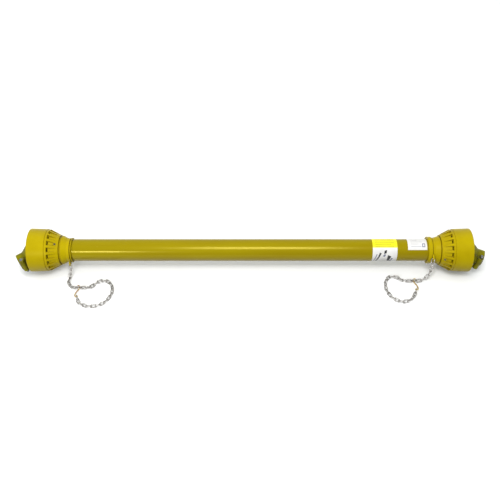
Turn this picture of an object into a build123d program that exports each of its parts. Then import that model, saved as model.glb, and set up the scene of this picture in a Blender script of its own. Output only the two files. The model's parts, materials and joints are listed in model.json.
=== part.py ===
from build123d import *
import math
import os

os.makedirs("parts", exist_ok=True)

# Universal joint (PTO) drive shaft with a plastic guard and safety chains, lying on a floor.
# Millimetres. +X runs along the shaft to the implement end, -Y is the front, +Z is up.
# The origin is on the shaft axis, half-way between the two cross centres.

# ---- driving dimensions: whole shaft ----
half_span = 655.0            # origin to each cross centre, shaft closed
floor_z = -68.7              # the guard's drums rest here

# ---- cross kit, 27 x 74.6 ----
cap_radius = 13.45
cap_inner_radius = 10.85
cap_start = 20.3
cap_end = 37.3
cap_floor = 2.3
trunnion_radius = 8.15
trunnion_end = 34.5
cross_body_radius = 16.5
shoulder_radius = 11.6
shoulder_end = 18.6
seal_radius = 12.4
needle_radius = 1.2
needle_pitch_radius = 9.5
needle_length = 12.4
needles_per_cap = 22
clip_thickness = 1.5
clip_radius = 14.5
clip_inner_radius = 11.4
running_gap = 0.15
nipple_seat = 17.4            # spot face for the grease nipple, from the cross centre
nipple_thread_radius = 2.5
nipple_flange_radius = 3.2

# ---- yokes ----
ear_radius = 19.0
arm_half_width = 17.0
ear_inner = 22.0
ear_outer = 42.0
ear_bore_radius = 13.5
throat_depth = 46.0
flare_start = 28.0
flare_middle = 42.0
flare_middle_radius = 37.5
flare_end = 60.0
outer_hub_radius = 25.0
outer_hub_end = 82.0
spline_minor_radius = 14.75
spline_major_radius = 17.6
spline_groove_width = 8.8
spline_count = 6
inner_hub_end = 105.0
inner_hub_floor = 57.5
ring_groove_start = 69.7
ring_groove_end = 78.3
ring_groove_depth = 3.2
roll_pin_z = 90.0
roll_pin_radius = 5.0

# ---- quick-release pin, across the outer hub ----
pin_z = 72.0
pin_offset = 20.6
pin_radius = 5.5
button_radius = 4.5
button_end = 30.0
pin_travel = 7.0
pin_head_start = 18.0
pin_tail = 10.4
boss_radius = 9.0
boss_button_side = 20.5
boss_plug_side = 26.0
plug_thickness = 2.6

# ---- three-lobed profile tubes (circumradius of the sharp triangle, corner radius, wall) ----
female_triangle = 39.0
female_corner = 15.0
female_wall = 3.4
male_triangle = 31.6
male_corner = 11.3
male_wall = 3.6
tube_seat = 58.0             # profile tubes end this far short of the cross centres
female_free_end = -543.0
male_free_end = 552.0

# ---- guard ----
drum_radius = 68.5
drum_back_radius = 66.5      # the drum tapers slightly to the back
drum_wall = 3.0
drum_bore_back = 64.2
rim_z = 35.0                 # the drum's open rim, outward of the cross centre
drum_back = -19.0
seat_radius = 65.0
seat_front = -9.0
band_radius = 64.9
band_wall = 3.0
band_back = -26.0
cone_end = -56.5
cone_end_radius = 48.4
cone_lip = 1.8
cone_bore_end = 44.6
cone_bore_front = 56.5
flute_count = 18
flute_depth = 5.4
flute_width_front = 15.0
flute_width_back = 10.0
window_radius = 57.5         # the windows at the deep ends of the flutes
window_length = 3.2
screw_z = -49.0
screw_radius = 2.0
screw_head_radius = 3.3
screw_pad_radius = 6.0       # round pad on the cone under each screw head
screw_boss_radius = 4.6      # boss on the collar's tongue that takes the screw
tongue_radius = 41.7
tongue_inner = 39.2
tongue_root = -54.0
tongue_length = 15.0
ring_housing_radius = 36.5
ring_housing_front = -68.0
ring_housing_back = -79.9
ring_slot_end = -78.4
ring_tab_radius = 36.0
ring_tab_height = 3.6
ring_tab_width = 9.0
lug_radius = 7.5
lug_z = -84.0
lug_thickness = 4.0
lug_hole_radius = 4.0
lug_hole_offset = 45.5
guard_seat = -80.1           # guard tubes end here, behind the bearing ring
outer_guard_radius = 35.0
outer_guard_bore = 32.2
inner_guard_radius = 31.4
inner_guard_bore = 28.7
outer_guard_free_end = -554.0
inner_guard_free_end = 540.0
label_thickness = 0.25

# ---- safety chains ----
wire_radius = 1.5
link_inner_length = 16.0
link_inner_width = 6.0
hook_wire_radius = 1.7
hook_bend_radius = 5.2
hook_bend_spacing = 32.0
hook_top_angle = 115.0
hook_bottom_angle = 150.0
hook_exit_angle = 290.0      # where the loop's last link hangs on the hook's bottom bend
hook_shank_y = 14.0          # where the hook's shank passes through the lead's last link
link_height = 4.7            # a link rolled 45 degrees has its centre this far above the floor

front = Vector(0, -1, 0)
up = Vector(0, 0, 1)


def turned(start, towards, degrees):
    """Unit vector `start` turned through an angle towards the perpendicular `towards`."""
    angle = math.radians(degrees)
    return start * math.cos(angle) + towards * math.sin(angle)


class End:
    """The planes of one end of the shaft; every piece of that end is placed by one of them."""

    def __init__(self, name, direction, droop, yaw, button_up, lug_angle, lug_drop_angle):
        self.name = name
        self.direction = direction
        outward = Vector(direction, 0, 0)
        centre = outward * half_span
        trunnion = turned(up, outward, droop)
        fork_axis = turned(outward, up * -1, droop)
        yoke_axis = turned(fork_axis, front, yaw)
        lug_direction = turned(front, up, lug_angle)
        self.lug_drop = turned(front, up, lug_drop_angle)
        self.cross = Plane(centre, x_dir=trunnion, z_dir=fork_axis)
        self.outer_yoke = Plane(centre, x_dir=trunnion * button_up, z_dir=yoke_axis)
        self.inner_yoke = Plane(centre, x_dir=(0, 1, 0), z_dir=outward * -1)
        self.guard = Plane(centre, x_dir=lug_direction, z_dir=outward)


tractor = End("tractor", direction=-1, droop=10, yaw=30, button_up=-1,
              lug_angle=-50, lug_drop_angle=-50)
implement = End("implement", direction=1, droop=10, yaw=16, button_up=1,
                lug_angle=15, lug_drop_angle=-70)


def write(piece, node, plane=Plane.XY):
    """Place a finished piece by its plane, label it and write its STEP file."""
    placed = plane.from_local_coords(piece)
    placed.label = node
    export_step(placed, f"parts/{node}.step")


# ---------------------------------------------------------------- cross and bearings


def make_cross():
    """Spider: four trunnions in the XY plane, drilled for grease."""
    with BuildPart() as cross:
        Sphere(radius=cross_body_radius)
        for plane in (Plane.YZ, Plane.XZ):
            with BuildSketch(plane):
                Circle(shoulder_radius)
            extrude(amount=shoulder_end, both=True)
            with BuildSketch(plane):
                Circle(trunnion_radius)
            extrude(amount=trunnion_end, both=True)
        tips = cross.edges().filter_by(GeomType.CIRCLE)
        chamfer([tip for tip in tips if tip.center().length > trunnion_end - 0.1], length=0.8)
        for plane in (Plane.YZ, Plane.XZ):
            with BuildSketch(plane):
                Circle(2.0)
            extrude(amount=trunnion_end, both=True, mode=Mode.SUBTRACT)
        with BuildSketch(nipple_plane().offset(8)):
            Circle(1.5)
        extrude(amount=12, mode=Mode.SUBTRACT)
        with BuildSketch(nipple_plane().offset(nipple_seat - 2.6)):
            Circle(nipple_thread_radius + 0.1)
        extrude(amount=3, mode=Mode.SUBTRACT)
        with BuildSketch(nipple_plane().offset(nipple_seat)):
            Circle(nipple_flange_radius + 0.4)
        extrude(amount=8, mode=Mode.SUBTRACT)
    return cross.part


def nipple_plane():
    """Plane at the cross centre that looks out along the diagonal between two trunnions."""
    return Plane((0, 0, 0), x_dir=(0, 0, 1), z_dir=(1, 1, 0))


def make_grease_nipple():
    """Straight grease nipple screwed into the cross on the diagonal."""
    bore = 0.8
    profile = [(bore, -2.4), (nipple_thread_radius, -2.4), (nipple_thread_radius, 0.1),
               (nipple_flange_radius, 0.1), (nipple_flange_radius, 3.1), (2.0, 3.9),
               (1.7, 5.7), (2.3, 6.9), (1.6, 8.5), (bore, 8.5)]
    with BuildPart() as nipple:
        with BuildSketch(Plane.XZ):
            with BuildLine():
                Polyline(*profile, close=True)
            make_face()
        revolve(axis=Axis.Z)
    return nipple_plane().offset(nipple_seat).from_local_coords(nipple.part)


def make_seals():
    """Four lip seals, one at the root of each trunnion."""
    with BuildPart() as seals:
        for plane in (Plane.YZ, Plane.XZ):
            for side in (-1, 1):
                with BuildSketch(plane.offset(side * (shoulder_end + 0.75))):
                    Circle(seal_radius)
                    Circle(trunnion_radius + 0.1, mode=Mode.SUBTRACT)
                extrude(amount=0.6, both=True)
    return seals.part


def make_caps():
    """The two bearing caps of one yoke, open towards the cross, on the X axis."""
    with BuildPart() as caps:
        with BuildSketch(Plane.XY):
            with BuildLine():
                Polyline(
                    (cap_start, cap_inner_radius), (cap_start, cap_radius), (cap_end, cap_radius),
                    (cap_end, 0), (cap_end - cap_floor, 0),
                    (cap_end - cap_floor, cap_inner_radius), close=True,
                )
            make_face()
        revolve(axis=Axis.X)
        chamfer(caps.edges().filter_by(GeomType.CIRCLE).sort_by(Axis.X)[-1], length=0.8)
        mirror(about=Plane.YZ)
    return caps.part


def make_needles():
    """The needle rollers of the two caps of one yoke."""
    first = cap_start + 1.0
    with BuildPart() as needles:
        with BuildSketch(Plane.YZ.offset(first)):
            with PolarLocations(needle_pitch_radius, needles_per_cap):
                Circle(needle_radius)
        extrude(amount=needle_length)
        mirror(about=Plane.YZ)
    return needles.part


def make_circlips():
    """Snap rings outside the two caps of one yoke."""
    with BuildPart() as clips:
        with BuildSketch(Plane.YZ.offset(cap_end + running_gap)):
            Circle(clip_radius)
            Circle(clip_inner_radius, mode=Mode.SUBTRACT)
            with Locations((0, -clip_radius)):
                Rectangle(5, 8, mode=Mode.SUBTRACT)
            with Locations((-4.6, -10.6), (4.6, -10.6)):
                Circle(2.1)
            with Locations((-4.6, -10.4), (4.6, -10.4)):
                Circle(0.9, mode=Mode.SUBTRACT)
        extrude(amount=clip_thickness)
        mirror(about=Plane.YZ)
    return clips.part


# ---------------------------------------------------------------- yokes


def fork_blank(hub_radius, hub_end):
    """Fork with its ears' bore along X and its hub along +Z, before the hub is bored."""
    reach = math.hypot(ear_outer, ear_radius)
    with BuildPart() as fork:
        with BuildSketch(Plane.YZ):
            Circle(ear_radius)
            with Locations((0, flare_end)):
                Rectangle(2 * arm_half_width, 10)
            make_hull()
        extrude(amount=ear_outer, both=True)
        with BuildSketch(Plane.XZ):
            with BuildLine():
                Polyline(
                    (0, -ear_radius), (reach, -ear_radius), (reach, flare_start),
                    (flare_middle_radius, flare_middle), (hub_radius, flare_end),
                    (hub_radius, flare_end + 4), (0, flare_end + 4), close=True,
                )
            make_face()
        revolve(axis=Axis.Z, mode=Mode.INTERSECT)
        with BuildSketch(Plane.XY.offset(throat_depth)):
            Circle(hub_radius)
        extrude(amount=hub_end - throat_depth)
        with BuildSketch(Plane.XZ):
            with Locations((0, throat_depth)):
                throat = Rectangle(2 * ear_inner, 100, align=(Align.CENTER, Align.MAX))
            fillet(throat.vertices().group_by(Axis.Z)[-1], radius=9)
        extrude(amount=reach, both=True, mode=Mode.SUBTRACT)
        with BuildSketch(Plane.YZ):
            Circle(ear_bore_radius)
        extrude(amount=ear_outer + 1, both=True, mode=Mode.SUBTRACT)
        for side in (-1, 1):
            groove_middle = cap_end + running_gap + clip_thickness / 2
            with BuildSketch(Plane.YZ.offset(side * groove_middle)):
                Circle(clip_radius + 0.2)
            extrude(amount=clip_thickness / 2 + 0.1, both=True, mode=Mode.SUBTRACT)
    return fork.part


def make_outer_yoke():
    """Quick-release yoke: six-splined hub, pin boss on +Y with its button towards +X."""
    with BuildPart() as yoke:
        add(fork_blank(outer_hub_radius, outer_hub_end))
        with BuildSketch(lock_pin_plane().offset(-boss_plug_side)):
            Circle(boss_radius)
        extrude(amount=boss_plug_side + boss_button_side)
        with BuildSketch(Plane.XY.offset(throat_depth - 1)):
            with PolarLocations(0, spline_count):
                Rectangle(spline_major_radius + 1, spline_groove_width, align=(Align.MIN, Align.CENTER))
            Circle(spline_major_radius, mode=Mode.INTERSECT)
            Circle(spline_minor_radius)
        extrude(amount=outer_hub_end - throat_depth + 2, mode=Mode.SUBTRACT)
        with BuildSketch(Plane.XY.offset(outer_hub_end)):
            Circle(spline_major_radius + 0.6)
        extrude(amount=-2.5, taper=45, mode=Mode.SUBTRACT)
        with BuildSketch(lock_pin_plane().offset(-boss_plug_side - 1)):
            Circle(pin_radius + running_gap)
        extrude(amount=boss_plug_side + 1 + pin_head_start + running_gap, mode=Mode.SUBTRACT)
        with BuildSketch(lock_pin_plane()):
            Circle(button_radius + 0.2)
        extrude(amount=boss_button_side + 1, mode=Mode.SUBTRACT)
    return yoke.part


def lock_pin_plane():
    """Plane at the middle of the lock pin's bore, looking out of the button side."""
    return Plane((0, pin_offset, pin_z), x_dir=(0, 1, 0), z_dir=(1, 0, 0))


def make_lock_pin():
    """Push pin: the notch lets the spline pass once the pin is pushed in by its travel."""
    with BuildPart() as pin:
        with BuildSketch(lock_pin_plane().offset(-pin_tail)):
            Circle(pin_radius)
        extrude(amount=pin_tail + pin_head_start)
        with BuildSketch(lock_pin_plane().offset(pin_head_start)):
            Circle(button_radius)
        extrude(amount=button_end - pin_head_start)
        fillet(pin.edges().filter_by(GeomType.CIRCLE).sort_by(Axis.X)[-1], radius=1.5)
        with BuildSketch(Plane.XY.offset(pin_z)):
            with Locations((pin_travel, 0)):
                Circle(spline_major_radius + 0.2)
        extrude(amount=pin_radius + 1, both=True, mode=Mode.SUBTRACT)
    return pin.part


def make_lock_pin_spring():
    """Compression spring between the pin's tail and the plug."""
    coil_radius = 4.0
    coil_wire = 0.6
    length = boss_plug_side - plug_thickness - pin_tail - 2 * (coil_wire + running_gap)
    with BuildPart() as spring:
        with BuildLine():
            coil = Helix(pitch=length / 3, height=length, radius=coil_radius)
        with BuildSketch(Plane(coil @ 0, z_dir=coil % 0)):
            Circle(coil_wire)
        sweep(path=coil)
    start = Plane((-boss_plug_side + plug_thickness + coil_wire + running_gap, pin_offset, pin_z),
                  x_dir=(0, 1, 0), z_dir=(1, 0, 0))
    return start.from_local_coords(spring.part)


def make_lock_pin_plug():
    """Slotted plug that closes the boss behind the spring."""
    with BuildPart() as plug:
        with BuildSketch(lock_pin_plane().offset(-boss_plug_side)):
            Circle(pin_radius + running_gap - 0.05)
        extrude(amount=plug_thickness)
        with BuildSketch(lock_pin_plane().offset(-boss_plug_side)):
            Rectangle(7, 1.6)
        extrude(amount=1.2, mode=Mode.SUBTRACT)
    return plug.part


def lobed_outline(triangle_radius, corner_radius, growth=0.0):
    """Three-lobed outline about the current origin, grown or shrunk all round."""
    with BuildSketch() as outline:
        RegularPolygon(radius=triangle_radius + 2 * growth, side_count=3, rotation=90)
        fillet(outline.vertices(), radius=corner_radius + growth)
    return outline.sketch


def make_inner_yoke(hub_radius, triangle_radius, corner_radius, lobe_turn):
    """Yoke pinned on the profile tube, with the guard bearing's groove round its hub."""
    with BuildPart() as yoke:
        add(fork_blank(hub_radius, inner_hub_end))
        with BuildSketch(Plane.XY.offset(inner_hub_floor)):
            add(lobed_outline(triangle_radius, corner_radius, growth=0.1).rotate(Axis.Z, lobe_turn))
        extrude(amount=inner_hub_end, mode=Mode.SUBTRACT)
        with BuildSketch(Plane.XY.offset(ring_groove_start)):
            Circle(hub_radius + 1)
            Circle(hub_radius - ring_groove_depth, mode=Mode.SUBTRACT)
        extrude(amount=ring_groove_end - ring_groove_start, mode=Mode.SUBTRACT)
        with BuildSketch(Plane.YZ):
            with Locations((0, roll_pin_z)):
                Circle(roll_pin_radius + 0.05)
        extrude(amount=hub_radius + 1, both=True, mode=Mode.SUBTRACT)
    return yoke.part


def make_roll_pin(hub_radius):
    """Slotted spring pin through hub and profile tube."""
    with BuildPart() as pin:
        with BuildSketch(Plane.YZ):
            with Locations((0, roll_pin_z)):
                Circle(roll_pin_radius)
                Circle(roll_pin_radius - 1.8, mode=Mode.SUBTRACT)
            with Locations((0, roll_pin_z + roll_pin_radius)):
                Rectangle(1.5, 5, mode=Mode.SUBTRACT)
        extrude(amount=hub_radius - 1, both=True)
    return pin.part


def make_profile_tube(triangle_radius, corner_radius, wall, start, end, pin_x):
    """Three-lobed steel tube along X, drilled across for its roll pin."""
    with BuildPart() as tube:
        with BuildSketch(Plane.YZ.offset(start)):
            add(lobed_outline(triangle_radius, corner_radius))
            add(lobed_outline(triangle_radius, corner_radius, growth=-wall), mode=Mode.SUBTRACT)
        extrude(amount=end - start)
        with BuildSketch(Plane.XZ):
            with Locations((pin_x, 0)):
                Circle(roll_pin_radius + 0.05)
        extrude(amount=triangle_radius, both=True, mode=Mode.SUBTRACT)
    return tube.part


# ---------------------------------------------------------------- guard, local +Z is outward


def screw_plane(angle):
    """Plane on the cone at one screw, normal to the cone's outer face."""
    radius = cone_end_radius + (screw_z - cone_end) * cone_slope
    tilt = math.atan(cone_slope)
    level = turned(Vector(1, 0, 0), Vector(0, 1, 0), angle)
    normal = turned(level, Vector(0, 0, -1), math.degrees(tilt))
    return Plane(level * radius + Vector(0, 0, screw_z), x_dir=level.cross(up), z_dir=normal)


cone_slope = (band_radius - cone_end_radius) / (band_back - cone_end)
screw_angles = (0, 120, 240)


def make_cup():
    """Drum of the bell with a rounded rim and back edge and the seat for the base cone."""
    with BuildPart() as cup:
        with BuildSketch(Plane.XZ):
            with BuildLine():
                Polyline(
                    (drum_radius - drum_wall, rim_z), (drum_radius, rim_z),
                    (drum_back_radius, drum_back), (seat_radius, drum_back),
                    (seat_radius, seat_front), (drum_bore_back, seat_front), close=True,
                )
            make_face()
        revolve(axis=Axis.Z)
        rings = cup.edges().filter_by(GeomType.CIRCLE)
        fillet([ring for ring in rings if ring.radius > drum_back_radius - 0.1], radius=1.2)
    return cup.part


def make_flute():
    """One flute's cavity: deep against the band, running out at the cone's small end."""
    band_outer = band_radius + 2
    floor_front = band_radius - flute_depth
    run_out = cone_end_radius + 0.2
    with BuildPart() as flute:
        with BuildSketch(Plane.XZ):
            with BuildLine():
                Polyline((band_outer, band_back), (floor_front, band_back), (run_out, cone_end),
                         (band_outer, cone_end), close=True)
            make_face()
        extrude(amount=flute_width_front, both=True)
        with BuildSketch(Plane.YZ):
            with BuildLine():
                Polyline(
                    (-flute_width_front / 2, band_back), (flute_width_front / 2, band_back),
                    (flute_width_back / 2, cone_end), (-flute_width_back / 2, cone_end), close=True,
                )
            make_face()
        extrude(amount=band_outer, mode=Mode.INTERSECT)
    return flute.part


def make_base_cone():
    """Fluted cone between drum and neck, with a window at the deep end of each flute."""
    flute = make_flute()
    with BuildPart() as cone:
        with BuildSketch(Plane.XZ):
            with BuildLine():
                Polyline(
                    (band_radius, seat_front - 0.2), (band_radius, band_back),
                    (cone_end_radius, cone_end), (cone_end_radius - 0.6, cone_end - cone_lip),
                    (tongue_radius + 0.3, cone_end - cone_lip),
                    (tongue_radius + 0.3, cone_end), (cone_bore_end, cone_end + 1.5),
                    (cone_bore_front, band_back - 1.0), (band_radius - band_wall, band_back + 5.0),
                    (band_radius - band_wall, seat_front - 0.2), close=True,
                )
            make_face()
        revolve(axis=Axis.Z)
        with PolarLocations(0, flute_count):
            add(flute, mode=Mode.SUBTRACT)
        with BuildSketch(Plane.XY.offset(band_back - 0.8)):
            with PolarLocations(window_radius, flute_count):
                Rectangle(9.0, 0.7 * flute_width_front)
        extrude(amount=-window_length, mode=Mode.SUBTRACT)
        for angle in screw_angles:
            with BuildSketch(screw_plane(angle).offset(-3.4)):
                Circle(screw_pad_radius)
            extrude(amount=3.6)
            with BuildSketch(screw_plane(angle).offset(0.4)):
                Circle(screw_head_radius + 0.2)
            extrude(amount=-1.9, mode=Mode.SUBTRACT)
            with BuildSketch(screw_plane(angle)):
                Circle(screw_radius + 0.15)
            extrude(amount=-6, mode=Mode.SUBTRACT)
    return cone.part


def make_screws():
    """The three screws that hold the cone to the collar's tongues."""
    with BuildPart() as screws:
        for angle in screw_angles:
            plane = screw_plane(angle)
            with BuildSketch(plane.offset(-1.4)):
                Circle(screw_head_radius)
            extrude(amount=1.3)
            with BuildSketch(plane.offset(-1.4)):
                Circle(screw_radius)
            extrude(amount=-9.5)
            with BuildSketch(plane.offset(-0.1)):
                Rectangle(4.4, 0.9)
                Rectangle(0.9, 4.4)
            extrude(amount=-0.8, mode=Mode.SUBTRACT)
    return screws.part


def make_collar(bore_radius, shoulder_radius, shoulder_start, neck_radius, neck_start,
                groove_radius, groove_width, flange_radius, flange_start, flange_end):
    """Reinforcing collar on the guard tube: shoulder, neck, flange, chain lug, three tongues."""
    with BuildPart() as collar:
        with BuildSketch(Plane.XY.offset(lug_z - lug_thickness / 2)):
            with Locations((lug_hole_offset - 1.5, 0)):
                Circle(lug_radius)
            with Locations((neck_radius - 2, 0)):
                Rectangle(10, 22)
            make_hull()
        extrude(amount=lug_thickness)
        with BuildSketch(Plane.XZ):
            with BuildLine():
                Polyline(
                    (ring_housing_radius, ring_housing_back), (bore_radius, ring_housing_back),
                    (bore_radius, flange_end), (flange_radius, flange_end),
                    (flange_radius, flange_start), (groove_radius, flange_start),
                    (groove_radius, flange_start + groove_width),
                    (neck_radius, flange_start + groove_width),
                    (neck_radius, neck_start), (shoulder_radius, shoulder_start),
                    (tongue_radius, shoulder_start), (tongue_radius, tongue_root),
                    (tongue_inner, tongue_root), (tongue_inner, ring_housing_front + 1.2),
                    (ring_housing_radius, ring_housing_front), close=True,
                )
            make_face()
        revolve(axis=Axis.Z)
        for angle in screw_angles:
            with BuildSketch(Plane.XY.offset(tongue_root - 2.0)):
                with PolarLocations(tongue_radius - 1.4, 1, start_angle=angle):
                    Rectangle(2.0, 13)
            extrude(amount=tongue_length)
            with BuildSketch(screw_plane(angle).offset(-5.9)):
                Circle(screw_boss_radius)
            extrude(amount=-7.0)
        with BuildSketch(Plane.XY.offset(ring_housing_front + 1.5)):
            with PolarLocations(ring_tab_radius, 3, start_angle=60):
                Rectangle(ring_tab_height + 0.8, ring_tab_width + 0.6)
        extrude(amount=ring_slot_end - ring_housing_front - 1.5, mode=Mode.SUBTRACT)
        with BuildSketch(Plane.XY.offset(flange_end - 1)):
            Circle(bore_radius)
        extrude(amount=ring_housing_back + 1.5 - flange_end, mode=Mode.SUBTRACT)
        with BuildSketch(Plane.XY.offset(lug_z - lug_thickness)):
            with Locations((lug_hole_offset, 0)):
                Circle(lug_hole_radius)
        extrude(amount=2 * lug_thickness, mode=Mode.SUBTRACT)
        for angle in screw_angles:
            with BuildSketch(screw_plane(angle).offset(-5)):
                Circle(screw_radius + 0.05)
            extrude(amount=-8, mode=Mode.SUBTRACT)
    return collar.part


def make_bearing_ring(hub_radius):
    """Split nylon ring that runs in the hub's groove and carries the guard by three tabs."""
    with BuildPart() as ring:
        with BuildSketch(Plane.XY.offset(-ring_groove_end + 0.4)):
            Circle(35.5)
            with PolarLocations(ring_tab_radius, 3, start_angle=60):
                Rectangle(ring_tab_height, ring_tab_width)
            Circle(hub_radius - ring_groove_depth + 0.3, mode=Mode.SUBTRACT)
            with Locations((33, 0)):
                Rectangle(16, 2.0, mode=Mode.SUBTRACT)
        extrude(amount=ring_groove_end - ring_groove_start - 0.8)
    return ring.part


def make_guard_tube(radius, bore, start, end):
    """Round plastic guard tube along X."""
    with BuildPart() as tube:
        with BuildSketch(Plane.YZ.offset(start)):
            Circle(radius)
            Circle(bore, mode=Mode.SUBTRACT)
        extrude(amount=end - start)
    return tube.part


def make_label(start, end, low_angle, high_angle):
    """Sticker wrapped round the outer guard tube; angles rise from the front over the top."""
    inner = outer_guard_radius + 0.03
    outer = inner + label_thickness
    sweep_angle = high_angle - low_angle
    with BuildPart() as label:
        with BuildSketch(Plane.XZ):
            with Locations(((start + end) / 2, (inner + outer) / 2)):
                Rectangle(end - start, outer - inner)
        revolve(axis=Axis.X, revolution_arc=sweep_angle)
    return label.part.rotate(Axis.X, 90 - high_angle)


# ---------------------------------------------------------------- safety chains


def make_link():
    """One welded link, its long axis on X and its flat side on XY."""
    half_straight = (link_inner_length - link_inner_width) / 2
    bend = link_inner_width / 2 + wire_radius
    with BuildPart() as link:
        with BuildLine() as path:
            Line((-half_straight, bend), (half_straight, bend))
            ThreePointArc((half_straight, bend), (half_straight + bend, 0), (half_straight, -bend))
            Line((half_straight, -bend), (-half_straight, -bend))
            ThreePointArc((-half_straight, -bend), (-half_straight - bend, 0), (-half_straight, bend))
        with BuildSketch(Plane((0, bend, 0), z_dir=(1, 0, 0))):
            Circle(wire_radius)
        sweep(path=path.wires()[0])
    return link.part


def chain_planes(path, first, pitch, count, start_normal):
    """Planes of the links along a path.

    Links lie 45 degrees to either side of flat. The last three turn upright, a third at a time,
    and the first three turn towards the given start normal. The frame is carried along the path
    back from its end on the floor.
    """
    frames = []
    normal = up
    for index in reversed(range(count)):
        distance = first + index * pitch
        centre = path.position_at(distance, position_mode=PositionMode.LENGTH)
        tangent = path.tangent_at(distance, position_mode=PositionMode.LENGTH)
        normal = (normal - tangent * normal.dot(tangent)).normalized()
        frames.insert(0, (centre, tangent, normal))
    centre, tangent, normal = frames[0]
    side = tangent.cross(normal)
    wanted = math.degrees(math.atan2(start_normal.dot(side), start_normal.dot(normal)))
    start_turn = (wanted - link_roll(count - 1) + 90) % 180 - 90
    planes = []
    for index, (centre, tangent, normal) in enumerate(frames):
        from_end = count - 1 - index
        roll = link_roll(from_end)
        roll += start_turn * max(0, 1 - index / 3) + 45 * max(0, 1 - from_end / 3)
        side = tangent.cross(normal)
        planes.append(Plane(centre, x_dir=tangent, z_dir=turned(normal, side, roll)))
    return planes


def link_roll(from_end):
    """Roll of a link lying on the floor, counted from the chain's end."""
    return -45 if from_end % 2 else 45


def make_chain(planes):
    """Links placed by their planes."""
    link = make_link()
    with BuildPart() as chain:
        for plane in planes:
            with Locations(plane):
                add(link)
    return chain.part


def make_hook():
    """S hook in the XY plane, its long axis on Y, its bends open towards each other."""
    middle = hook_bend_spacing / 2
    bend = hook_bend_radius
    with BuildPart() as hook:
        with BuildLine() as path:
            CenterArc((0, middle), bend, start_angle=0, arc_size=hook_top_angle)
            Spline((bend, middle), (-bend, -middle), tangents=((0, -1), (0, -1)))
            CenterArc((0, -middle), bend, start_angle=180, arc_size=hook_bottom_angle)
        wire = path.wires()[0]
        with BuildSketch(Plane(wire @ 0, z_dir=wire % 0)):
            Circle(hook_wire_radius)
        sweep(path=wire)
    return hook.part


# ---------------------------------------------------------------- the two ends

for end, hub_radius, triangle, corner, lobe_turn, collar_sizes in (
    (tractor, 27.0, male_triangle, male_corner, 0,
     dict(bore_radius=inner_guard_radius + 0.05, shoulder_radius=45.6, shoulder_start=-65.0,
          neck_radius=37.4, neck_start=-80.5, groove_radius=34.2, groove_width=3.6,
          flange_radius=38.9, flange_start=-93.2, flange_end=-95.2)),
    (implement, 30.0, female_triangle, female_corner, 180,
     dict(bore_radius=outer_guard_radius + 0.05, shoulder_radius=44.6, shoulder_start=-60.6,
          neck_radius=39.5, neck_start=-76.0, groove_radius=37.4, groove_width=2.2,
          flange_radius=42.2, flange_start=-85.8, flange_end=-97.5)),
):
    side = end.name
    write(make_cross(), f"{side}_cross", end.cross)
    write(make_grease_nipple(), f"{side}_grease_nipple", end.cross)
    write(make_seals(), f"{side}_cross_seals", end.cross)
    for pair, plane in (("outer", end.outer_yoke), ("inner", end.inner_yoke)):
        write(make_caps(), f"{side}_{pair}_bearing_caps", plane)
        write(make_needles(), f"{side}_{pair}_needles", plane)
        write(make_circlips(), f"{side}_{pair}_circlips", plane)
    write(make_outer_yoke(), f"{side}_outer_yoke", end.outer_yoke)
    write(make_lock_pin(), f"{side}_lock_pin", end.outer_yoke)
    write(make_lock_pin_spring(), f"{side}_lock_pin_spring", end.outer_yoke)
    write(make_lock_pin_plug(), f"{side}_lock_pin_plug", end.outer_yoke)
    write(make_inner_yoke(hub_radius, triangle, corner, lobe_turn), f"{side}_inner_yoke", end.inner_yoke)
    write(make_roll_pin(hub_radius), f"{side}_roll_pin", end.inner_yoke)
    write(make_cup(), f"{side}_cup", end.guard)
    write(make_base_cone(), f"{side}_base_cone", end.guard)
    write(make_screws(), f"{side}_cone_screws", end.guard)
    write(make_collar(**collar_sizes), f"{side}_collar", end.guard)
    write(make_bearing_ring(hub_radius), f"{side}_bearing_ring", end.guard)

# ---------------------------------------------------------------- tubes and labels

write(
    make_profile_tube(female_triangle, female_corner, female_wall,
                      female_free_end, half_span - tube_seat, half_span - roll_pin_z),
    "outer_profile_tube",
)
write(
    make_profile_tube(male_triangle, male_corner, male_wall,
                      -half_span + tube_seat, male_free_end, -half_span + roll_pin_z),
    "inner_profile_tube",
)
write(
    make_guard_tube(outer_guard_radius, outer_guard_bore, outer_guard_free_end, half_span + guard_seat),
    "outer_guard_tube",
)
write(
    make_guard_tube(inner_guard_radius, inner_guard_bore, -half_span - guard_seat, inner_guard_free_end),
    "inner_guard_tube",
)
write(make_label(383, 460, low_angle=-35, high_angle=135), "guard_label")
write(make_label(493, 553, low_angle=50, high_angle=130), "data_label")

# ---------------------------------------------------------------- chains on the floor

link_z = floor_z + link_height
hook_z = floor_z + link_inner_width / 2 + 2 * wire_radius
lead_count = 8
lead_first = 11.0            # the first link's centre, from the middle of the lug hole
lead_last = 7.9              # the lead's last link centre, from the end of its path
loop_first = 7.4             # the loop's first link centre, from the start of its path
loop_last = 6.5              # the loop's last link centre, from the end of its path


def smooth_path(stops):
    """Wire of nearly circular arcs through the stops, each a point and the heading there."""
    with BuildLine() as line:
        for (start, heading), (stop, next_heading) in zip(stops, stops[1:]):
            turn = math.radians(heading.get_angle(next_heading))
            reach = (stop - start).length / (3 * math.cos(turn / 4) ** 2)
            Bezier(start, start + heading * reach, stop - next_heading * reach, stop)
    return line.wires()[0]


def spaced_planes(path, first, last, count, start_normal):
    """Planes of links evenly spaced along a path, with the given room at its two ends."""
    pitch = (path.length - first - last) / (count - 1)
    return chain_planes(path, first, pitch, count, start_normal)


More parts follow.
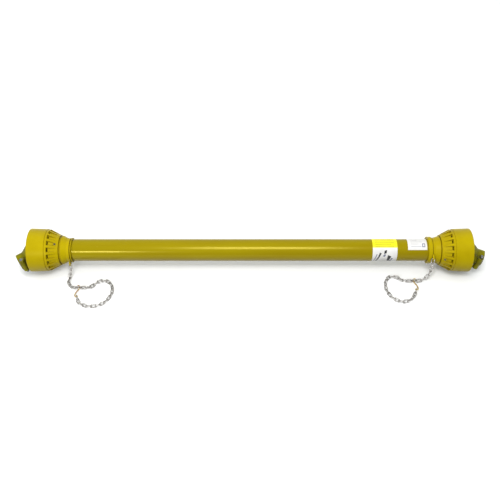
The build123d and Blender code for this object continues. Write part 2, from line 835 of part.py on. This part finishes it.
def lay_chain(end, hook_plane, lead_stops, loop_stops, loop_count):
    """Lay one safety chain: the lead from lug to hook, and the loop that ends in the hook."""
    lug_hole = end.guard.from_local_coords(Vector(lug_hole_offset, 0, lug_z))
    exit_direction = turned(Vector(1, 0, 0), Vector(0, 1, 0), hook_exit_angle)
    bend_centre = Vector(0, -hook_bend_spacing / 2, 0)
    before_hook, junction, after_hook, loop_in, loop_end = (
        hook_plane.from_local_coords(point)
        for point in (
            Vector(-8, hook_shank_y, 0), Vector(11, hook_shank_y, 0), Vector(28, hook_shank_y, 0),
            bend_centre + exit_direction * 20, bend_centre + exit_direction * 4.4,
        )
    )
    hook_side = hook_plane.x_dir
    arrival = (loop_end - loop_in).normalized()
    drop = end.lug_drop
    lead = smooth_path([(lug_hole, drop), (lug_hole + drop * 20, drop), *lead_stops,
                        (before_hook, hook_side), (junction, hook_side)])
    loop = smooth_path([(junction, hook_side), (after_hook, hook_side), *loop_stops,
                        (loop_in, arrival), (loop_end, arrival)])
    lug_axis = Vector(1, 0, 0)
    lead_planes = spaced_planes(lead, lead_first, lead_last, lead_count, lug_axis.cross(drop))
    loop_planes = spaced_planes(loop, loop_first, loop_last, loop_count, up)
    write(make_chain(lead_planes), f"{end.name}_chain_lead")
    write(make_chain(loop_planes), f"{end.name}_chain_loop")
    write(make_hook(), f"{end.name}_chain_hook", hook_plane)


def stop(x, y, z, *heading):
    """One stop of a chain's path: a point and the heading there."""
    return Vector(x, y, z), Vector(*heading).normalized()


lay_chain(
    tractor,
    Plane((-541, -115, hook_z), x_dir=(1, 0, 0), z_dir=(0, 0, 1)),
    lead_stops=[stop(-574, -72, link_z, 0, -1, 0)],
    loop_stops=[stop(-490, -87, link_z, 0.58, 0.81, 0), stop(-464, -74, link_z, 1, 0, 0),
                stop(-432, -112, link_z, 0, -1, 0), stop(-489, -172, link_z, -1, 0, 0)],
    loop_count=21,
)
lay_chain(
    implement,
    Plane((523, -88, hook_z), x_dir=(-1, 0, 0), z_dir=(0, 0, -1)),
    lead_stops=[stop(553, -67, -60, -0.85, -0.35, -0.4)],
    loop_stops=[stop(475, -65.5, link_z, -0.72, 0.69, 0), stop(454, -57, link_z, -1, 0, 0),
                stop(427, -94, link_z, 0, -1, 0), stop(478, -154, link_z, 1, 0, 0)],
    loop_count=19,
)
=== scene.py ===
import json
import math

import bpy
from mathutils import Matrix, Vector


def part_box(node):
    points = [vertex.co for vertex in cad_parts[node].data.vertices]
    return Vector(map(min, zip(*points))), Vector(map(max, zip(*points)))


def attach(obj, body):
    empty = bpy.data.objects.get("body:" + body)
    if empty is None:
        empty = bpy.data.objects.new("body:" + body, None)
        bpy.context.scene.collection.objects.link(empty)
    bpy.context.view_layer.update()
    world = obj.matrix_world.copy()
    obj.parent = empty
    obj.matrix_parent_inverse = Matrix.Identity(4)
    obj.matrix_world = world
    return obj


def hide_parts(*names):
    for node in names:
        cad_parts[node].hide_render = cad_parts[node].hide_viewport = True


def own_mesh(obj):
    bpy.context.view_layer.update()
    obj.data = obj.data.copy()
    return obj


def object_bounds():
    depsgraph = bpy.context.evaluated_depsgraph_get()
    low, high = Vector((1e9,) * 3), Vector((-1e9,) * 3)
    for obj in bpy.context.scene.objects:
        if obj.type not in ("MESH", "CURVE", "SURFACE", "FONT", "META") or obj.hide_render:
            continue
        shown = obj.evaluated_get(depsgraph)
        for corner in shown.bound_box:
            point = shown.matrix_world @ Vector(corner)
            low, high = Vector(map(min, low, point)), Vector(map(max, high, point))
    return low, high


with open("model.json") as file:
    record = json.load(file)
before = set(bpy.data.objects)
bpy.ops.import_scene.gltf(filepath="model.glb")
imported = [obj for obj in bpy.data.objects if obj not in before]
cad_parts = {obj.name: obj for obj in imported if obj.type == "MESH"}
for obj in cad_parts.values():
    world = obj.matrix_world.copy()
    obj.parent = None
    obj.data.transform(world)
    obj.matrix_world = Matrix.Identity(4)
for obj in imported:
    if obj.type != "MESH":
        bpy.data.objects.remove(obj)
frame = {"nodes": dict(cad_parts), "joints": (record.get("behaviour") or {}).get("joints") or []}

cad_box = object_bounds()

# A guarded universal joint shaft on a pale studio floor. Metres, in the row frame: +X runs along the
# shaft to the implement end, -Y is the camera's side and +Z is up.


# ---------------------------------------------------------------- shader building blocks


class Shader:
    """A material with a Principled shader and short calls to add and link nodes."""

    def __init__(self, name):
        self.material = bpy.data.materials.new(name)
        self.material.use_nodes = True
        self.tree = self.material.node_tree
        self.surface = self.tree.nodes["Principled BSDF"]
        self.place = self.node("ShaderNodeTexCoord").outputs["Object"]

    def node(self, kind, **settings):
        made = self.tree.nodes.new(kind)
        for key, value in settings.items():
            setattr(made, key, value)
        return made

    def put(self, socket, value):
        """Links an output to a socket, or sets the socket to a plain value."""
        if isinstance(value, bpy.types.NodeSocket):
            self.tree.links.new(value, socket)
        else:
            socket.default_value = value

    def set(self, **inputs):
        """Puts values into the Principled shader's inputs; an underscore stands for a space."""
        for key, value in inputs.items():
            self.put(self.surface.inputs[key.replace("_", " ")], value)

    def noise(self, scale, detail=3.0, stretch=(1, 1, 1)):
        """Cloudy noise; a stretch below 1 draws it out along that axis."""
        mapping = self.node("ShaderNodeMapping")
        self.put(mapping.inputs["Vector"], self.place)
        self.put(mapping.inputs["Scale"], stretch)
        noise = self.node("ShaderNodeTexNoise")
        self.put(noise.inputs["Vector"], mapping.outputs["Vector"])
        self.put(noise.inputs["Scale"], scale)
        self.put(noise.inputs["Detail"], detail)
        return noise.outputs["Fac"]

    def ramp(self, factor, low, high, start=0.0, end=1.0):
        """Maps a factor between start and end onto low..high."""
        node = self.node("ShaderNodeMapRange", clamp=True)
        self.put(node.inputs["Value"], factor)
        for key, value in (("From Min", start), ("From Max", end), ("To Min", low), ("To Max", high)):
            self.put(node.inputs[key], value)
        return node.outputs["Result"]

    def mask(self, factor, start, end):
        """0 where the factor is below start, rising to 1 where it is above end."""
        return self.ramp(factor, 0.0, 1.0, start, end)

    def mix(self, factor, a, b):
        """Blends two colours, from a at 0 to b at 1."""
        node = self.node("ShaderNodeMix", data_type="RGBA")
        # the node holds sockets for every kind of value: 0 is the factor, 6, 7 and output 2 are colours
        self.put(node.inputs[0], factor)
        self.put(node.inputs[6], a)
        self.put(node.inputs[7], b)
        return node.outputs[2]

    def multiply(self, a, b):
        node = self.node("ShaderNodeMath", operation="MULTIPLY")
        self.put(node.inputs[0], a)
        self.put(node.inputs[1], b)
        return node.outputs[0]

    def rounded(self, radius):
        """Normals that round off sharp edges by a radius in metres."""
        node = self.node("ShaderNodeBevel", samples=4)
        self.put(node.inputs["Radius"], radius)
        return node.outputs["Normal"]

    def bump(self, height, distance, normal):
        node = self.node("ShaderNodeBump")
        self.put(node.inputs["Height"], height)
        self.put(node.inputs["Distance"], distance)
        self.put(node.inputs["Normal"], normal)
        return node.outputs["Normal"]

    def wear_and_highlight_edges(self, radius):
        """0 on flat faces, rising to 1 on convex and concave edges."""
        geometry = self.node("ShaderNodeNewGeometry")
        alike = self.node("ShaderNodeVectorMath", operation="DOT_PRODUCT")
        self.put(alike.inputs[0], geometry.outputs["Normal"])
        self.put(alike.inputs[1], self.rounded(radius))
        return self.ramp(alike.outputs["Value"], low=1.0, high=0.0, start=0.8, end=0.98)

    def crevice_shade(self, distance, start=0.35, end=0.95):
        """1 in open places, falling to 0 deep in corners and slots; materials darken towards 0 to paint
        shade there.
        """
        node = self.node("ShaderNodeAmbientOcclusion", samples=6)
        self.put(node.inputs["Distance"], distance)
        return self.mask(node.outputs["AO"], start, end)


def colour(red, green, blue):
    """Linear colour from the usual 0..255 display values."""

    def linear(value):
        value /= 255.0
        return value / 12.92 if value <= 0.04045 else ((value + 0.055) / 1.055) ** 2.4

    return (linear(red), linear(green), linear(blue), 1.0)


def darker(tint, share):
    """A tint in 0..255 display values, taken down to a share of itself."""
    return [int(level * share) for level in tint]


def grey(level):
    """Linear grey."""
    return (level, level, level, 1.0)


# ---------------------------------------------------------------- materials

PLASTIC_SHINE = colour(255, 236, 118)


def moulded_yellow():
    """Injection-moulded guard plastic: satin, faintly mottled, painted shade in the corners, edges
    lightened partly by wear and partly as a painted highlight.
    """
    s = Shader("moulded_yellow")
    mottle = s.mask(s.noise(14), 0.35, 0.65)
    specks = s.mask(s.noise(420, detail=2), 0.62, 0.75)
    scuffs = s.mask(s.noise(55, detail=6, stretch=(0.25, 1.6, 1.6)), 0.55, 0.72)
    base = s.mix(mottle, colour(166, 147, 2), colour(157, 137, 1))
    base = s.mix(s.multiply(specks, 0.25), base, colour(150, 128, 2))
    # painted shade: brown darkening deep in corners and slots
    base = s.mix(s.crevice_shade(0.005), colour(104, 80, 2), base)
    # edges lightened, partly wear and partly a painted highlight
    base = s.mix(s.multiply(s.wear_and_highlight_edges(0.0006), 0.35), base, colour(222, 202, 60))
    grain = s.bump(s.noise(1800, detail=2), 0.00004, s.rounded(0.0007))
    s.set(Base_Color=base, Roughness=s.ramp(scuffs, 0.38, 0.6), Normal=grain)
    s.set(Specular_IOR_Level=0.25, Specular_Tint=PLASTIC_SHINE)
    return s.material


def extruded_yellow():
    """Extruded tube plastic: glossier, with fine drawing lines along the tube."""
    s = Shader("extruded_yellow")
    drift = s.mask(s.noise(6, stretch=(0.4, 4, 4)), 0.35, 0.65)
    handling = s.mask(s.noise(90, detail=5, stretch=(0.5, 1.4, 1.4)), 0.6, 0.78)
    base = s.mix(drift, colour(139, 124, 0), colour(131, 114, 0))
    base = s.mix(s.multiply(handling, 0.3), base, colour(116, 100, 0))
    lines = s.noise(260, stretch=(0.006, 1, 1))
    s.set(Base_Color=base, Roughness=s.ramp(handling, 0.2, 0.34))
    s.set(Normal=s.bump(lines, 0.00006, s.rounded(0.0005)))
    s.set(Specular_IOR_Level=0.48, Specular_Tint=PLASTIC_SHINE)
    return s.material


def yoke_paint():
    """Yellow paint over a forging, taken down to the tone it shows in shade (painted shade), rubbed to
    metal on its edges, near black in its corners (painted shade).
    """
    s = Shader("yoke_paint")
    mottle = s.mask(s.noise(40, detail=4), 0.35, 0.65)
    worn = s.multiply(s.wear_and_highlight_edges(0.0012), s.mask(s.noise(130), 0.42, 0.6))
    # base tones are the yellow paint as it looks in shade: painted shade
    base = s.mix(mottle, colour(128, 124, 8), colour(98, 92, 4))
    # painted shade: near black deep in corners and recesses
    base = s.mix(s.crevice_shade(0.025, start=0.4, end=1.0), colour(26, 20, 2), base)
    base = s.mix(worn, base, colour(176, 172, 160))
    cast = s.noise(260, detail=5)
    s.set(Base_Color=base, Metallic=worn, Roughness=s.ramp(s.noise(70), 0.35, 0.6, start=0.3, end=0.7))
    s.set(Normal=s.bump(cast, 0.0003, s.rounded(0.0012)))
    s.set(Specular_IOR_Level=0.3, Specular_Tint=PLASTIC_SHINE)
    return s.material


def machined_metal(name, tint, roughness):
    """Machined metal with a fine grain and a thin, dulling smear of grease."""
    s = Shader(name)
    smear = s.mask(s.noise(60, detail=4), 0.4, 0.65)
    base = s.mix(smear, colour(*tint), colour(*darker(tint, 0.62)))
    s.set(Base_Color=base, Metallic=1.0, Roughness=s.ramp(smear, roughness, roughness + 0.22))
    s.set(Normal=s.bump(s.noise(900, detail=2), 0.00004, s.rounded(0.0005)))
    return s.material


def zinc_chain():
    """Dull zinc plate on chain wire: bright crowns, grey patches, painted shade darkening the joints.
    """
    s = Shader("zinc_chain")
    patch = s.mask(s.noise(220, detail=4), 0.38, 0.62)
    base = s.mix(patch, colour(226, 222, 220), colour(142, 137, 132))
    # painted shade: dark where the links meet
    base = s.mix(s.crevice_shade(0.004, start=0.1, end=0.8), colour(52, 47, 42), base)
    s.set(Base_Color=base, Metallic=0.85, Roughness=s.ramp(patch, 0.3, 0.5))
    s.set(Normal=s.bump(s.noise(1400), 0.00005, s.rounded(0.0002)))
    return s.material


def yellow_zinc():
    """Passivated yellow zinc with the usual straw-to-pink drift."""
    s = Shader("yellow_zinc")
    drift = s.mask(s.noise(120, detail=2), 0.4, 0.6)
    base = s.mix(drift, colour(222, 198, 104), colour(190, 140, 92))
    # painted shade: darker deep in corners
    base = s.mix(s.crevice_shade(0.004, start=0.1, end=0.8), colour(50, 38, 12), base)
    s.set(Base_Color=base, Metallic=0.9, Roughness=s.ramp(drift, 0.28, 0.42))
    s.set(Normal=s.bump(s.noise(1200, detail=2), 0.00004, s.rounded(0.0002)))
    return s.material


def dull_plastic(name, light, dark, roughness):
    """Nylon or rubber: two close tones, fine grain."""
    s = Shader(name)
    s.set(Base_Color=s.mix(s.mask(s.noise(50, detail=4), 0.35, 0.65), colour(*light), colour(*dark)))
    s.set(Roughness=roughness, Normal=s.bump(s.noise(1300, detail=2), 0.00005, s.rounded(0.0004)))
    return s.material


def printed_film(name, tint):
    """Sticker film: slightly wavy under a gloss surface."""
    s = Shader(name)
    s.set(Base_Color=s.mix(s.mask(s.noise(30), 0.4, 0.7), colour(*tint), colour(*darker(tint, 0.94))))
    s.set(Roughness=s.ramp(s.noise(80), 0.3, 0.4, start=0.3, end=0.7))
    flat = s.node("ShaderNodeNewGeometry").outputs["Normal"]
    s.set(Normal=s.bump(s.noise(45, detail=2), 0.00012, flat))
    return s.material


MOULDED = moulded_yellow()
EXTRUDED = extruded_yellow()
PAINTED = yoke_paint()
STEEL = machined_metal("ground_steel", tint=(168, 168, 170), roughness=0.28)
DARK_STEEL = machined_metal("dark_steel", tint=(104, 102, 98), roughness=0.36)
BRASS = machined_metal("nipple_brass", tint=(206, 176, 98), roughness=0.26)
CHAIN = zinc_chain()
HOOK = yellow_zinc()
NYLON = dull_plastic("nylon", light=(224, 220, 206), dark=(204, 198, 182), roughness=0.5)
RUBBER = dull_plastic("seal_rubber", light=(26, 26, 26), dark=(16, 16, 16), roughness=0.7)


def material_for(node):
    """The look of a CAD node, by what it is."""
    endings = (
        (("_cup", "_base_cone", "_collar"), MOULDED),
        (("guard_tube", "label"), EXTRUDED),
        (("outer_yoke", "inner_yoke"), PAINTED),
        (("circlips", "spring", "roll_pin", "cone_screws"), DARK_STEEL),
        (("grease_nipple",), BRASS),
        (("chain_lead", "chain_loop"), CHAIN),
        (("chain_hook",), HOOK),
        (("bearing_ring",), NYLON),
        (("seals",), RUBBER),
    )
    for names, material in endings:
        if node.endswith(names):
            return material
    return STEEL


for node_name, node_object in frame["nodes"].items():
    node_object.data.materials.clear()
    node_object.data.materials.append(material_for(node_name))


# ---------------------------------------------------------------- new pieces


def add_object(name, data):
    """A new object in the scene, holding a mesh, a light or a camera."""
    made = bpy.data.objects.new(name, data)
    bpy.context.scene.collection.objects.link(made)
    return made


def add_mesh(name, points, faces, materials, paints=None, smooth=True):
    """A new mesh object; paints holds each face's place in the list of materials."""
    mesh = bpy.data.meshes.new(name)
    mesh.from_pydata(points, [], faces)
    for material in materials:
        mesh.materials.append(material)
    if paints:
        mesh.polygons.foreach_set("material_index", paints)
    mesh.polygons.foreach_set("use_smooth", [smooth] * len(faces))
    mesh.update()
    return add_object(name, mesh)


def stand_in(piece, node, body):
    """Shows the piece in place of a CAD node, on the node's own body."""
    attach(piece, body)
    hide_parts(node)


# ---------------------------------------------------------------- stickers

PRINT_LIFT = 0.00006          # each printed layer stands this far above the one under it
PATCH_COLUMNS = 2
FIELD_ROWS = 24               # enough faces round the tube for a whole label to look round

WHITE = printed_film("film_white", (216, 214, 212))
YELLOW = printed_film("film_yellow", (232, 224, 14))
BLACK = printed_film("film_black", (24, 22, 26))
GREY = printed_film("film_grey", (112, 114, 134))
OCHRE = printed_film("film_ochre", (150, 140, 10))


class Wrap:
    """Where a label lies on the guard tube: u runs along +X, v from the front over the top."""

    def __init__(self, node, low_degrees, high_degrees):
        low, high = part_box(node)
        self.start, self.end = low.x, high.x
        self.radius = high.z      # the shaft's axis is at z = 0, and the label reaches over the top
        self.low = math.radians(low_degrees)
        self.high = math.radians(high_degrees)

    def point(self, u, v, lift):
        """A point on the label; its angle rises from level in front to upright on top."""
        angle = self.low + (self.high - self.low) * v
        radius = self.radius + lift
        x = self.start + (self.end - self.start) * u
        return (x, -math.cos(angle) * radius, math.sin(angle) * radius)


class Sticker:
    """Mesh of thin curved patches, each of one film."""

    def __init__(self, name, wrap):
        self.name, self.wrap = name, wrap
        self.points, self.faces, self.films, self.paints = [], [], [], []

    def patch(self, film, corners, layer=1, rows=6):
        """Four-cornered patch, its (u, v) corners in order round its edge."""
        if film not in self.films:
            self.films.append(film)
        first = len(self.points)
        a, b, c, d = corners
        for row in range(rows + 1):
            t = row / rows
            for column in range(PATCH_COLUMNS + 1):
                s = column / PATCH_COLUMNS
                near = [a[i] + (b[i] - a[i]) * s for i in (0, 1)]
                far = [d[i] + (c[i] - d[i]) * s for i in (0, 1)]
                u, v = (near[i] + (far[i] - near[i]) * t for i in (0, 1))
                self.points.append(self.wrap.point(u, v, layer * PRINT_LIFT))
        stride = PATCH_COLUMNS + 1
        for row in range(rows):
            for column in range(PATCH_COLUMNS):
                corner = first + row * stride + column
                self.faces.append((corner, corner + 1, corner + stride + 1, corner + stride))
                self.paints.append(self.films.index(film))

    def finish(self, node):
        piece = add_mesh(self.name, self.points, self.faces, self.films, self.paints)
        stand_in(piece, node, body="implement_guard")


def rectangle(u0, u1, v0, v1):
    return [(u0, v0), (u1, v0), (u1, v1), (u0, v1)]


def guard_label():
    """Large wrap-round sticker: yellow field with ruled lines over a white field with plain shapes."""
    label = Sticker("guard_label_print", Wrap("guard_label", -35, 135))
    split = 0.57
    label.patch(WHITE, rectangle(0, 1, 0, split), layer=0, rows=FIELD_ROWS)
    label.patch(YELLOW, rectangle(0, 1, split, 1), layer=0, rows=FIELD_ROWS)
    for line in range(6):
        level = split + 0.035 + 0.065 * line
        line_end = 0.88 - 0.12 * (line % 2)
        label.patch(OCHRE, rectangle(0.10, line_end, level, level + 0.016))
    for film, rows, corners in (
        (BLACK, 8, [(0.12, 0.06), (0.19, 0.08), (0.36, 0.40), (0.29, 0.42)]),
        (GREY, 8, [(0.06, 0.10), (0.09, 0.11), (0.20, 0.36), (0.16, 0.37)]),
        (BLACK, 4, [(0.46, 0.38), (0.56, 0.40), (0.58, 0.50), (0.48, 0.48)]),
        (GREY, 4, [(0.42, 0.30), (0.50, 0.28), (0.55, 0.36), (0.47, 0.37)]),
        (BLACK, 6, [(0.60, 0.10), (0.68, 0.08), (0.76, 0.30), (0.62, 0.34)]),
        (GREY, 6, [(0.70, 0.05), (0.76, 0.05), (0.84, 0.22), (0.78, 0.24)]),
    ):
        label.patch(film, corners, rows=rows)
    label.finish("guard_label")


def data_label():
    """Small white sticker with a ruled table and an empty box."""
    label = Sticker("data_label_print", Wrap("data_label", 50, 130))
    label.patch(WHITE, rectangle(0, 1, 0, 1), layer=0, rows=FIELD_ROWS)
    for line, line_end in enumerate((0.70, 0.58, 0.74, 0.5)):
        level = 0.22 + 0.17 * line
        label.patch(GREY, rectangle(0.16, line_end, level, level + 0.02))
    label.patch(GREY, rectangle(0.74, 0.90, 0.18, 0.44), rows=4)
    label.patch(WHITE, rectangle(0.78, 0.86, 0.24, 0.38), layer=2, rows=4)
    label.finish("data_label")


guard_label()
data_label()


# ---------------------------------------------------------------- lock pin springs

WIRE_RADIUS = 0.0006
SPRING_TURNS = 3
STEPS_PER_TURN = 28
WIRE_SIDES = 10


def span(mesh, direction):
    """Lowest and highest reach of a mesh along a direction."""
    reach = [vertex.co.dot(direction) for vertex in mesh.vertices]
    return min(reach), max(reach)


class Coil:
    """Round wire wound about an axis, as wide and as long as the CAD spring that it stands for."""

    def __init__(self, cad_spring, along):
        self.along = along
        self.across = along.orthogonal().normalized()
        self.third = along.cross(self.across)
        self.low, self.high = span(cad_spring, along)
        left, right = span(cad_spring, self.across)
        near, far = span(cad_spring, self.third)
        self.axis_point = self.across * (left + right) / 2 + self.third * (near + far) / 2
        self.radius = (right - left) / 2 - WIRE_RADIUS
        self.steps = SPRING_TURNS * STEPS_PER_TURN
        self.rise = (self.high - self.low - 2 * WIRE_RADIUS) / self.steps

    def ring(self, step):
        """Points round the wire at one step of the coil."""
        angle = 2 * math.pi * step / STEPS_PER_TURN
        radial = self.across * math.cos(angle) + self.third * math.sin(angle)
        circling = self.third * math.cos(angle) - self.across * math.sin(angle)
        heading = circling * self.radius * 2 * math.pi / STEPS_PER_TURN + self.along * self.rise
        binormal = heading.normalized().cross(radial)
        height = self.low + WIRE_RADIUS + self.rise * step
        middle = self.axis_point + radial * self.radius + self.along * height
        points = []
        for corner in range(WIRE_SIDES):
            turn = 2 * math.pi * corner / WIRE_SIDES
            points.append(middle + (radial * math.cos(turn) + binormal * math.sin(turn)) * WIRE_RADIUS)
        return points

    def points(self):
        return [point for step in range(self.steps + 1) for point in self.ring(step)]

    def faces(self):
        """Sides between neighbouring rings, then a cap on each end."""
        sides = []
        for step in range(self.steps):
            first = step * WIRE_SIDES
            for corner in range(WIRE_SIDES):
                after = (corner + 1) % WIRE_SIDES
                sides.append((first + corner, first + after,
                              first + WIRE_SIDES + after, first + WIRE_SIDES + corner))
        start_cap = tuple(reversed(range(WIRE_SIDES)))
        end_cap = tuple(range(self.steps * WIRE_SIDES, (self.steps + 1) * WIRE_SIDES))
        return sides + [start_cap, end_cap]


def pin_spring(side):
    """Coil between the lock pin's tail and the plug."""
    node = f"{side}_lock_pin_spring"
    push = next(joint for joint in frame["joints"] if joint["name"] == f"{side}_pin_push")
    along = Vector(push["axis"]).normalized()
    coil = Coil(frame["nodes"][node].data, along)
    piece = add_mesh(f"{side}_pin_coil", coil.points(), coil.faces(), [DARK_STEEL])
    stand_in(piece, node, body=f"{side}_yoke")
    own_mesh(piece)


for side in ("tractor", "implement"):
    pin_spring(side)


# ---------------------------------------------------------------- floor, light, camera


def floor():
    """Plain pale floor under the lowest point; it bounces little light, so undersides stay in shade."""
    gap = 0.0002
    reach = 6.0
    level = cad_box[0][2] - gap
    corners = [(-reach, -reach, level), (reach, -reach, level),
               (reach, reach, level), (-reach, reach, level)]
    s = Shader("pale_floor")
    tone = s.mix(s.mask(s.noise(3, detail=2), 0.3, 0.7), grey(0.85), grey(0.87))
    bounced = s.node("ShaderNodeLightPath").outputs["Is Diffuse Ray"]
    s.set(Base_Color=s.mix(bounced, tone, grey(0.18)), Roughness=0.9, Specular_IOR_Level=0.1)
    add_mesh("floor", corners, [(0, 1, 2, 3)], [s.material], smooth=False)


def soft_light(name, place, aim, size, watts, seen_in_gloss=True):
    """Rectangular studio light aimed at a point; some only brighten, without a mirrored shape."""
    light = bpy.data.lights.new(name, "AREA")
    light.shape = "RECTANGLE"
    light.size, light.size_y = size
    light.energy = watts
    holder = add_object(name, light)
    holder.location = place
    holder.rotation_euler = (Vector(aim) - Vector(place)).to_track_quat("-Z", "Y").to_euler()
    holder.visible_glossy = seen_in_gloss


def studio():
    """Dim pale surroundings, two wide lights overhead and behind, and three smaller ones in front."""
    world = bpy.data.worlds.new("studio")
    bpy.context.scene.world = world
    world.use_nodes = True
    background = world.node_tree.nodes["Background"].inputs
    background["Color"].default_value = (0.96, 1.0, 0.97, 1)
    background["Strength"].default_value = 0.6
    middle, left, wall = (0.05, 0, 0), (-0.5, 0, 0), (0, 1.2, 0)
    soft_light("key", (-0.35, -0.15, 2.7), middle, size=(3.8, 1.8), watts=40, seen_in_gloss=False)
    soft_light("back_wash", (0.0, 1.9, 1.6), wall, size=(3.8, 0.8), watts=16, seen_in_gloss=False)
    soft_light("middle_box", (0.07, -0.80, 2.2), middle, size=(0.9, 0.72), watts=26)
    soft_light("left_box", (-1.0, -2.05, 1.24), left, size=(0.34, 0.26), watts=14)
    soft_light("left_fill", (-1.5, -2.0, 1.5), left, size=(0.9, 0.9), watts=14, seen_in_gloss=False)
    bpy.context.scene.view_settings.view_transform = "Standard"


def camera():
    """Camera square to the shaft, looking down at it."""
    elevation = math.radians(50)
    distance = 2.2
    optics = bpy.data.cameras.new("camera")
    optics.lens = 50.0
    optics.sensor_width = 36.0
    holder = add_object("camera", optics)
    holder.location = (0, -distance * math.cos(elevation), distance * math.sin(elevation))
    holder.rotation_euler = (math.radians(90) - elevation, 0, 0)
    bpy.context.scene.camera = holder


floor()
studio()
camera()
